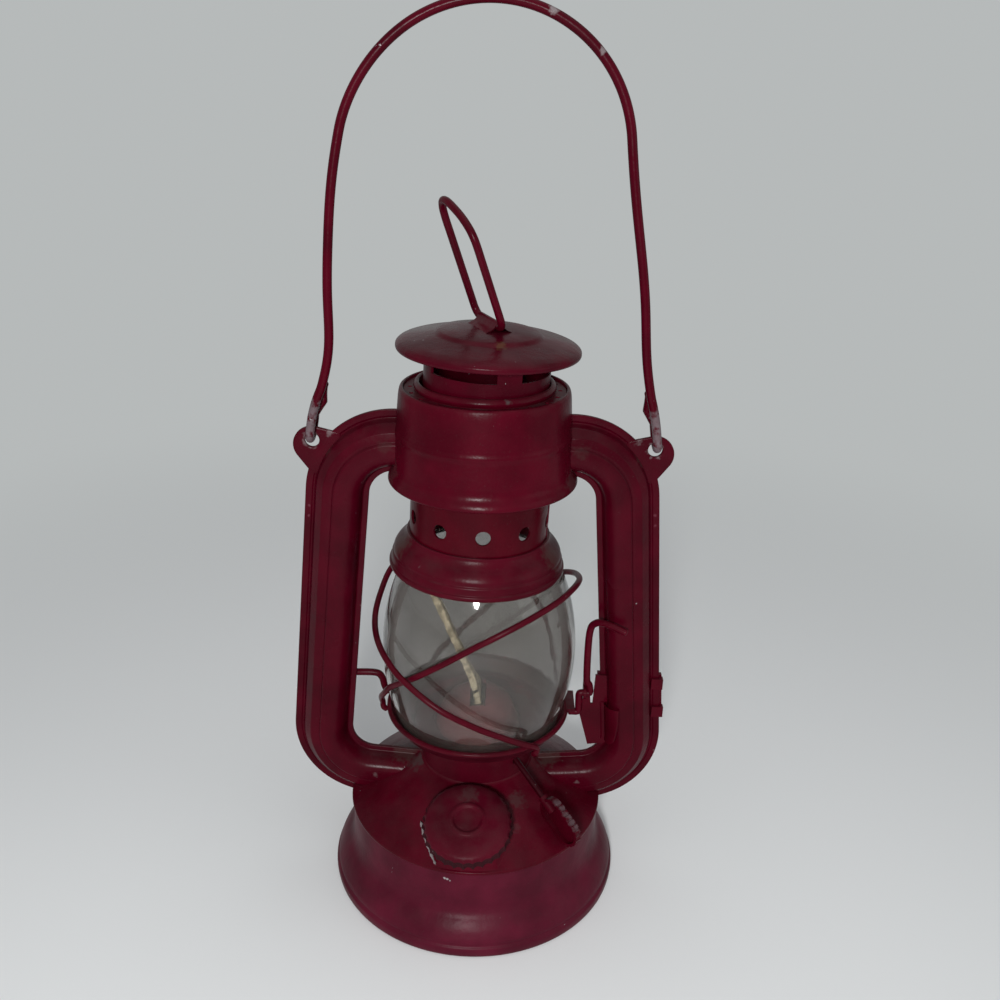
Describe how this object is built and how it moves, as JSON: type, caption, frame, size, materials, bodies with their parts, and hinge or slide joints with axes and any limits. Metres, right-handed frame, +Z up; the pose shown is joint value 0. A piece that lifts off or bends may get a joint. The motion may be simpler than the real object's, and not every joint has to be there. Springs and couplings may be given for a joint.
{
  "type": "tubular hurricane lantern",
  "caption": "Small oil lantern with a round flared fount, hollow side tubes, a glass globe in a wire guard on a lever-lifted plate, a vented chimney and a wire bail to carry it",
  "frame": {"origin": "middle of the foot, on the ground", "axes": "+Z up, -Y to the front with the filler cap, X along the two side tubes"},
  "size_m": [0.1272, 0.1, 0.2842],
  "materials": {
    "crimson_enamel": "dark crimson gloss enamel, worn",
    "plain_steel": "bare wire",
    "burner_brass": "dull",
    "gasket_rubber": "matt",
    "wick_cotton": "flat woven cotton",
    "globe_glass": "clear, dusty"
  },
  "bodies": {
    "frame": {"fount_shell": "crimson_enamel", "fount_floor": "crimson_enamel", "fount_shoulder": "crimson_enamel", "filler_neck": "crimson_enamel", "burner_collar": "crimson_enamel", "burner_base": "crimson_enamel", "wick_tube": "burner_brass", "burner_dome": "crimson_enamel", "left_tube_front": "crimson_enamel", "left_tube_rear": "crimson_enamel", "right_tube_front": "crimson_enamel", "right_tube_rear": "crimson_enamel", "crown_drum": "crimson_enamel", "crown_top": "crimson_enamel", "crown_floor": "crimson_enamel", "chimney_spring": "plain_steel", "lever_bracket": "crimson_enamel"},
    "carrier": {"globe_plate": "crimson_enamel", "globe": "globe_glass", "guard_front": "crimson_enamel", "guard_rear": "crimson_enamel", "guide_wire": "crimson_enamel"},
    "chimney": {"chimney_hood": "crimson_enamel", "chimney_tube": "crimson_enamel", "chimney_neck": "crimson_enamel", "top_cap": "crimson_enamel"},
    "loop": {"lift_loop": "crimson_enamel"},
    "handle": {"bail": "crimson_enamel"},
    "lever": {"globe_lever": "crimson_enamel"},
    "key": {"wick_spindle": "plain_steel", "wick_key": "crimson_enamel"},
    "wick_strip": {"wick": "wick_cotton"},
    "gasket": {"filler_gasket": "gasket_rubber"},
    "oil_cap": {"filler_cap": "crimson_enamel"}
  },
  "joints": [
    {"name": "bail_swing", "type": "hinge", "parent": "frame", "child": "handle", "pos_m": [0, 0, 0.16199], "axis": [1, 0, 0], "range_deg": [-120, 120]},
    {"name": "globe_lever_turn", "type": "hinge", "parent": "frame", "child": "lever", "pos_m": [0.0344, -0.0033, 0.07171], "axis": [1, 0, 0], "range_deg": [0, 90]},
    {"name": "globe_lift", "type": "slide", "parent": "frame", "child": "carrier", "axis": [0, 0, 1], "range_m": [0, 0.0075]},
    {"name": "chimney_lift", "type": "slide", "parent": "carrier", "child": "chimney", "axis": [0.0314, 0, 0.9995], "range_m": [0, 0.009], "stiffness_N_per_m": 60, "springref_m": -0.012, "deforming": ["chimney_spring"]},
    {"name": "loop_swing", "type": "hinge", "parent": "chimney", "child": "loop", "pos_m": [0.00102, 0, 0.19703], "axis": [0.4065, -0.9135, -0.0128], "range_deg": [-107, 63]},
    {"name": "wick_turn", "type": "hinge", "parent": "frame", "child": "key", "pos_m": [0, 0, 0.06252], "axis": [0.6061, -0.6061, -0.515], "range_deg": [-488, 0]},
    {"name": "wick_slide", "type": "slide", "parent": "frame", "child": "wick_strip", "axis": [-0.3907, 0, 0.9205], "range_m": [-0.034, 0], "deforming": ["wick"]},
    {"name": "cap_lift", "type": "slide", "parent": "frame", "child": "gasket", "axis": [-0.0179, -0.3416, 0.9397], "range_m": [0, 0.005]},
    {"name": "cap_turn", "type": "hinge", "parent": "gasket", "child": "oil_cap", "pos_m": [-0.00175, -0.03335, 0.03823], "axis": [-0.0179, -0.3416, 0.9397], "range_deg": [0, 720]}
  ],
  "couplings": [
    {"joint": "globe_lever_turn", "follows": "globe_lift", "rad_per_m": 209.44},
    {"joint": "wick_turn", "follows": "wick_slide", "rad_per_m": 250},
    {"joint": "cap_lift", "follows": "cap_turn", "m_per_rad": 0.000397}
  ]
}
